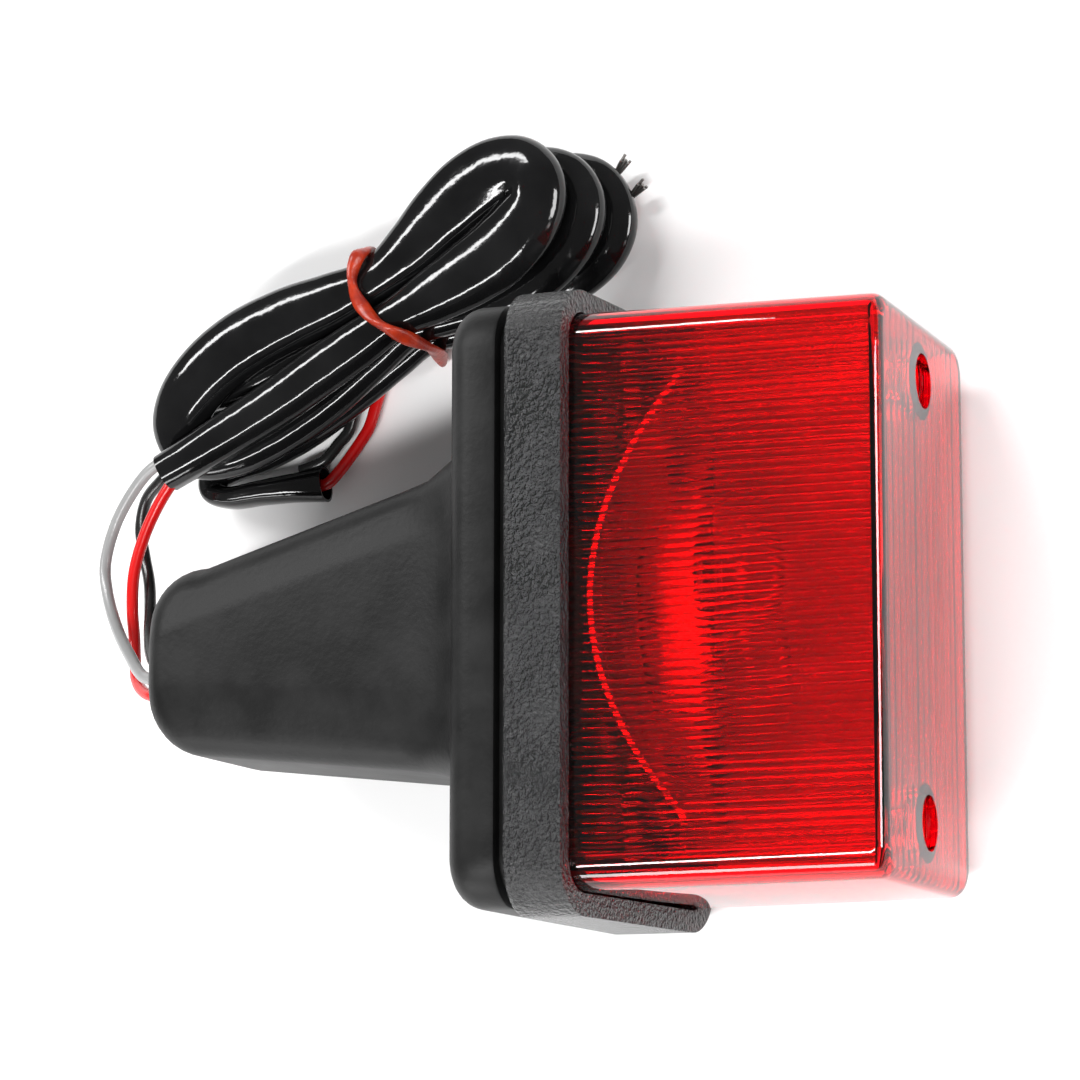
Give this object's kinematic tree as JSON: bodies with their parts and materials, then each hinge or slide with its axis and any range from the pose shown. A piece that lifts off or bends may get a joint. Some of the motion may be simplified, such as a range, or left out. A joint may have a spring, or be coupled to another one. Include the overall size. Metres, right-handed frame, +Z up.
{
  "type": "tail light",
  "caption": "Rectangular rear lamp: ribbed red lens on a black housing and tapered rubber stem, with its wiring sleeve folded in a hank.",
  "frame": {"origin": "on the surface that the lamp lies on, under the middle of the lamp's own box without its harness", "axes": "+X the way the lens faces, +Y along the lamp towards the side that the harness lies on, +Z up"},
  "size_m": [0.1589, 0.1412, 0.0596],
  "materials": {
    "red_lens": "transparent red, fine ribs, gloss",
    "seal_rubber": "matt",
    "bright_steel": "zinc plated, satin",
    "brass": "machined, slightly dull",
    "black_plastic": "spark-eroded grain, semi-matt",
    "mirror_finish": "vacuum metallised",
    "insulator": "phenolic, matt",
    "clear_glass": "clear",
    "mount_rubber": "moulded, matt",
    "grey_wire": "extruded, soft gloss",
    "red_wire": "extruded, soft gloss",
    "black_wire": "extruded, soft gloss",
    "tinned_strands": "tinned copper strands",
    "black_sleeve": "soft extruded sleeve, high gloss",
    "orange_band": "elastic band, slightly glossy"
  },
  "bodies": {
    "lamp_body": {"housing": "black_plastic", "rubber_mount": "mount_rubber", "reflector": "mirror_finish", "socket_shell": "bright_steel", "contact_spring": "bright_steel", "lens_gasket": "seal_rubber", "screw_insert_upper": "brass", "screw_insert_lower": "brass", "mount_bolt_upper": "bright_steel", "mount_bolt_lower": "bright_steel", "mount_washer_upper": "bright_steel", "mount_washer_lower": "bright_steel", "weld_nut_upper": "bright_steel", "weld_nut_lower": "bright_steel", "mount_plate": "bright_steel", "stem_insert_upper": "brass", "stem_insert_lower": "brass", "wire_grommet": "seal_rubber", "inner_lead_grey": "grey_wire", "inner_lead_red": "red_wire", "inner_lead_black": "black_wire", "lead_grey": "grey_wire", "lead_red": "red_wire", "lead_black": "black_wire", "tail_red": "red_wire", "tail_black": "black_wire", "strands_red": "tinned_strands", "strands_black": "tinned_strands", "sleeve_hank": "black_sleeve", "sleeve_end": "black_sleeve", "hank_band": "orange_band"},
    "lens": {"lens": "red_lens", "screw_seal_upper": "seal_rubber", "screw_seal_lower": "seal_rubber"},
    "lens_screw_upper": {"lens_screw_upper": "bright_steel"},
    "lens_screw_lower": {"lens_screw_lower": "bright_steel"},
    "contact_carrier": {"contact_carrier": "insulator", "socket_contact_upper": "brass", "socket_contact_lower": "brass"},
    "bulb": {"bulb_cap": "brass", "bulb_base": "insulator", "bulb_glass": "clear_glass", "bulb_filaments": "bright_steel"}
  },
  "joints": [
    {"name": "lens_off", "type": "slide", "parent": "lamp_body", "child": "lens", "axis": [1, 0, 0], "range_m": [0, 0.07]},
    {"name": "lens_screw_upper_turn", "type": "hinge", "parent": "lens", "child": "lens_screw_upper", "pos_m": [0.06, 0.03675, 0.0298], "axis": [1, 0, 0], "continuous": true},
    {"name": "lens_screw_lower_turn", "type": "hinge", "parent": "lens", "child": "lens_screw_lower", "pos_m": [0.06, -0.03675, 0.0298], "axis": [1, 0, 0], "continuous": true},
    {"name": "contact_push", "type": "slide", "parent": "lamp_body", "child": "contact_carrier", "axis": [-1, 0, 0], "range_m": [0, 0.002], "stiffness_N_per_m": 3000, "deforming": ["contact_spring"]},
    {"name": "bulb_turn", "type": "hinge", "parent": "contact_carrier", "child": "bulb", "pos_m": [0, 0, 0.0298], "axis": [1, 0, 0], "range_deg": [0, 20]}
  ]
}
